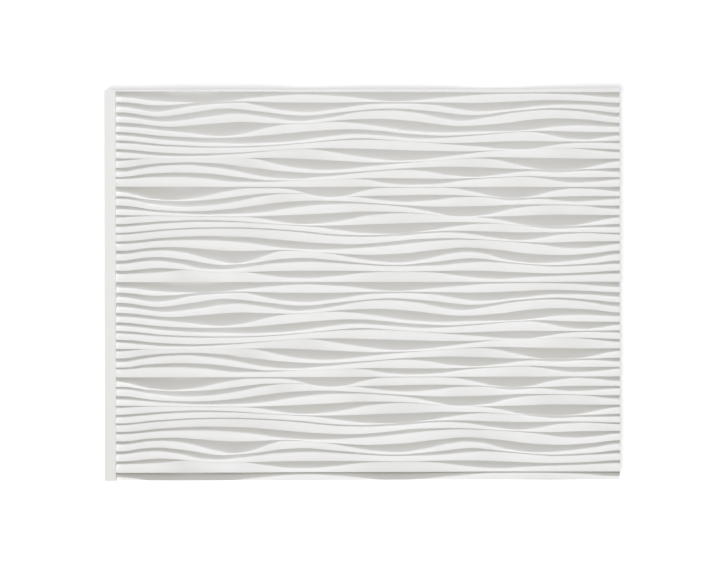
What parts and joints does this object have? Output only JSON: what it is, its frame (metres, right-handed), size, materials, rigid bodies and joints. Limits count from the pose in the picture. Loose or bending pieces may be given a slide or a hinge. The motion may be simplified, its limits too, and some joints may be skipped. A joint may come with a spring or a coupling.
{
  "type": "relief wall panel",
  "caption": "Rectangular thermoformed plastic wall panel with long wavy ridges across its face, a flat border along its left side and a stepped lap along its bottom.",
  "frame": {"origin": "centre of the panel's bounding box, on the wall plane under its back", "axes": "+X along the ridges, away from the border; +Y towards the top edge; +Z out of the wall, to the ridged face"},
  "size_m": [0.62, 0.4734, 0.0114],
  "materials": {
    "wall_panel": "white matte PVC, vacuum formed"
  },
  "bodies": {
    "root": {"wall_panel": "wall_panel"}
  },
  "joints": []
}
